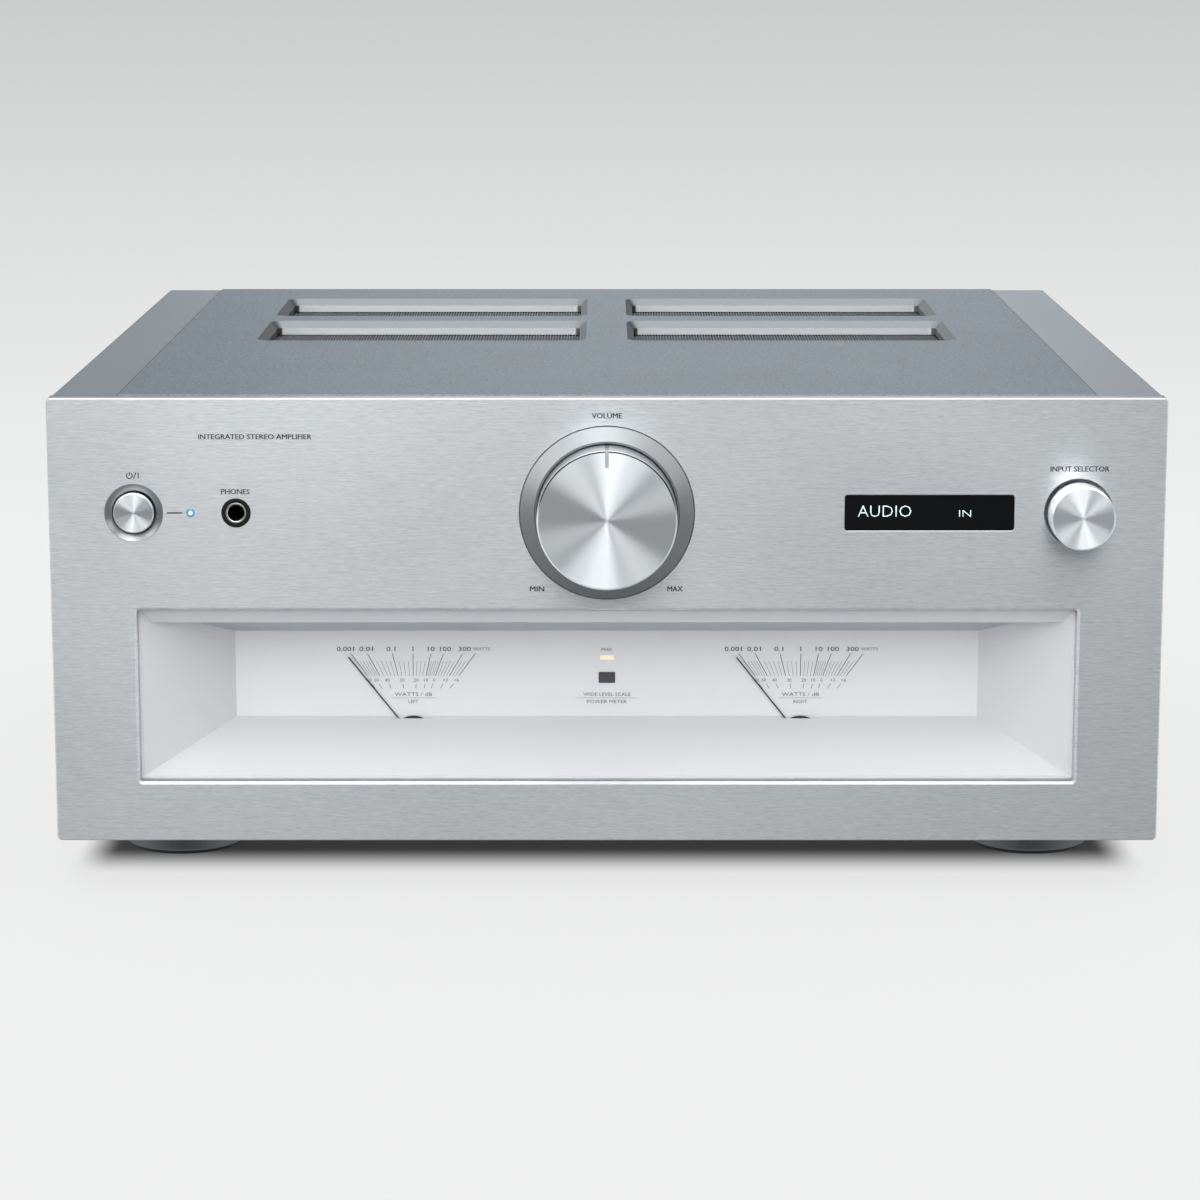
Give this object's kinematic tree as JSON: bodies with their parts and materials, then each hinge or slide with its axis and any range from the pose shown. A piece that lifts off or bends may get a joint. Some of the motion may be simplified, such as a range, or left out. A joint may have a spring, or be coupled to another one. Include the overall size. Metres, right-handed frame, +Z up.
{
  "type": "stereo amplifier",
  "caption": "Full-width hi-fi stereo amplifier with a volume knob, an input selector, a display, two needle power meters behind glass, and rear sockets and speaker terminals.",
  "frame": {"origin": "on the surface it stands on, under the middle of its overall box", "axes": "+X to the listener's right, +Y from the front towards the rear, +Z up"},
  "size_m": [0.43, 0.451, 0.194],
  "materials": {
    "brushed_faceplate": "horizontal hairline, anodised silver",
    "subframe_metal": "satin",
    "side_metal": "fine bead-blasted satin",
    "cover_metal": "fine-grained textured grey",
    "mesh_metal": "woven wire mesh, dark grey",
    "base_steel": "satin grey sheet",
    "rear_metal": "fine-grained textured grey",
    "foot_metal": "turned, dark anodised",
    "foot_rubber": "matte",
    "screw_steel": "satin",
    "bezel_metal": "turned satin",
    "knob_metal": "spun face, satin side",
    "button_metal": "spun face",
    "shaft_steel": "ground",
    "encoder_metal": "plain",
    "spring_steel": "plain",
    "switch_plastic": "moulded black",
    "status_lens": "clear lens, lit pale blue",
    "jack_plastic": "moulded black",
    "jack_ring": "polished",
    "display_lens": "smoked black lens",
    "display_body": "plain",
    "window_glass": "clear",
    "meter_white": "matte white",
    "dial_white": "matte white, printed",
    "needle_black": "matte black",
    "movement_body": "plain",
    "lamp_strip": "white light strip",
    "amber_lens": "dim amber",
    "sensor_lens": "dark infrared filter",
    "transformer_wrap": "taped winding",
    "circuit_board": "green laminate",
    "capacitor_sleeve": "dark sleeve",
    "sink_metal": "black anodised",
    "inlet_plastic": "moulded black",
    "pin_metal": "nickel plated",
    "socket_metal": "gold plated",
    "socket_core": "white above, red below",
    "digital_plastic": "moulded black",
    "post_metal": "gold plated",
    "washer_metal": "gold plated",
    "cap_metal": "gold plated, knurled",
    "ground_metal": "nickel plated, knurled"
  },
  "bodies": {
    "cabinet": {"front_panel": "brushed_faceplate", "front_subframe": "subframe_metal", "side_panel_left": "side_metal", "side_panel_right": "side_metal", "top_cover": "cover_metal", "vent_meshes": "mesh_metal", "base_plate": "base_steel", "rear_panel": "rear_metal", "foot_front_left": "foot_metal", "foot_front_right": "foot_metal", "foot_rear_left": "foot_metal", "foot_rear_right": "foot_metal", "foot_pads": "foot_rubber", "case_screws": "screw_steel", "volume_bezel": "bezel_metal", "volume_encoder": "encoder_metal", "selector_encoder": "encoder_metal", "power_spring": "spring_steel", "power_switch": "switch_plastic", "status_light": "status_lens", "phones_socket": "jack_plastic", "phones_ring": "jack_ring", "display_window": "display_lens", "display_module": "display_body", "meter_window": "window_glass", "meter_housing": "meter_white", "dial_plate": "dial_white", "meter_movements": "movement_body", "meter_lamps": "lamp_strip", "peak_indicator": "amber_lens", "remote_sensor": "sensor_lens", "power_transformer": "transformer_wrap", "supply_board": "circuit_board", "supply_capacitors": "capacitor_sleeve", "amplifier_boards": "circuit_board", "heat_sinks": "sink_metal", "input_board": "circuit_board", "control_board": "circuit_board", "mains_inlet": "inlet_plastic", "mains_pins": "pin_metal", "line_sockets": "socket_metal", "line_socket_cores": "socket_core", "digital_sockets": "digital_plastic", "terminal_posts": "post_metal"},
    "volume_control": {"volume_knob": "knob_metal", "volume_shaft": "shaft_steel"},
    "selector_control": {"selector_knob": "knob_metal", "selector_shaft": "shaft_steel"},
    "power_control": {"power_button": "button_metal"},
    "needle_left": {"meter_needle_left": "needle_black"},
    "needle_right": {"meter_needle_right": "needle_black"},
    "terminal_washer_1": {"terminal_washer_1": "washer_metal"},
    "terminal_cap_1": {"terminal_cap_1": "cap_metal"},
    "terminal_washer_2": {"terminal_washer_2": "washer_metal"},
    "terminal_cap_2": {"terminal_cap_2": "cap_metal"},
    "terminal_washer_3": {"terminal_washer_3": "washer_metal"},
    "terminal_cap_3": {"terminal_cap_3": "cap_metal"},
    "terminal_washer_4": {"terminal_washer_4": "washer_metal"},
    "terminal_cap_4": {"terminal_cap_4": "cap_metal"},
    "ground_screw": {"ground_screw": "ground_metal"}
  },
  "joints": [
    {"name": "volume_turn", "type": "hinge", "parent": "cabinet", "child": "volume_control", "pos_m": [0, -0.215, 0.1495], "axis": [0, 1, 0], "range_deg": [-140, 140]},
    {"name": "selector_turn", "type": "hinge", "parent": "cabinet", "child": "selector_control", "pos_m": [0.1817, -0.212, 0.1495], "axis": [0, 1, 0], "continuous": true},
    {"name": "power_press", "type": "slide", "parent": "cabinet", "child": "power_control", "axis": [0, 1, 0], "range_m": [0, 0.0025], "stiffness_N_per_m": 800, "springref_m": -0.001, "deforming": ["power_spring"]},
    {"name": "needle_left_swing", "type": "hinge", "parent": "cabinet", "child": "needle_left", "pos_m": [-0.0775, -0.1628, 0.0517], "axis": [0, 1, 0], "range_deg": [0, 77], "stiffness_Nm_per_rad": 0.0001, "springref_deg": -17.19},
    {"name": "needle_right_swing", "type": "hinge", "parent": "cabinet", "child": "needle_right", "pos_m": [0.0775, -0.1628, 0.0517], "axis": [0, 1, 0], "range_deg": [0, 77], "stiffness_Nm_per_rad": 0.0001, "springref_deg": -17.19},
    {"name": "terminal_1_travel", "type": "slide", "parent": "cabinet", "child": "terminal_washer_1", "axis": [0, 1, 0], "range_m": [0, 0.005]},
    {"name": "terminal_1_turn", "type": "hinge", "parent": "terminal_washer_1", "child": "terminal_cap_1", "pos_m": [-0.096, 0.216, 0.064], "axis": [0, 1, 0], "range_deg": [0, 1441]},
    {"name": "terminal_2_travel", "type": "slide", "parent": "cabinet", "child": "terminal_washer_2", "axis": [0, 1, 0], "range_m": [0, 0.005]},
    {"name": "terminal_2_turn", "type": "hinge", "parent": "terminal_washer_2", "child": "terminal_cap_2", "pos_m": [-0.062, 0.216, 0.064], "axis": [0, 1, 0], "range_deg": [0, 1441]},
    {"name": "terminal_3_travel", "type": "slide", "parent": "cabinet", "child": "terminal_washer_3", "axis": [0, 1, 0], "range_m": [0, 0.005]},
    {"name": "terminal_3_turn", "type": "hinge", "parent": "terminal_washer_3", "child": "terminal_cap_3", "pos_m": [-0.006, 0.216, 0.064], "axis": [0, 1, 0], "range_deg": [0, 1441]},
    {"name": "terminal_4_travel", "type": "slide", "parent": "cabinet", "child": "terminal_washer_4", "axis": [0, 1, 0], "range_m": [0, 0.005]},
    {"name": "terminal_4_turn", "type": "hinge", "parent": "terminal_washer_4", "child": "terminal_cap_4", "pos_m": [0.028, 0.216, 0.064], "axis": [0, 1, 0], "range_deg": [0, 1441]},
    {"name": "ground_screw_turn", "type": "hinge", "parent": "cabinet", "child": "ground_screw", "pos_m": [0.188, 0.208, 0.094], "axis": [0, 1, 0], "range_deg": [0, 1080]}
  ],
  "couplings": [
    {"joint": "terminal_1_turn", "follows": "terminal_1_travel", "rad_per_m": 5026.5},
    {"joint": "terminal_2_turn", "follows": "terminal_2_travel", "rad_per_m": 5026.5},
    {"joint": "terminal_3_turn", "follows": "terminal_3_travel", "rad_per_m": 5026.5},
    {"joint": "terminal_4_turn", "follows": "terminal_4_travel", "rad_per_m": 5026.5}
  ]
}
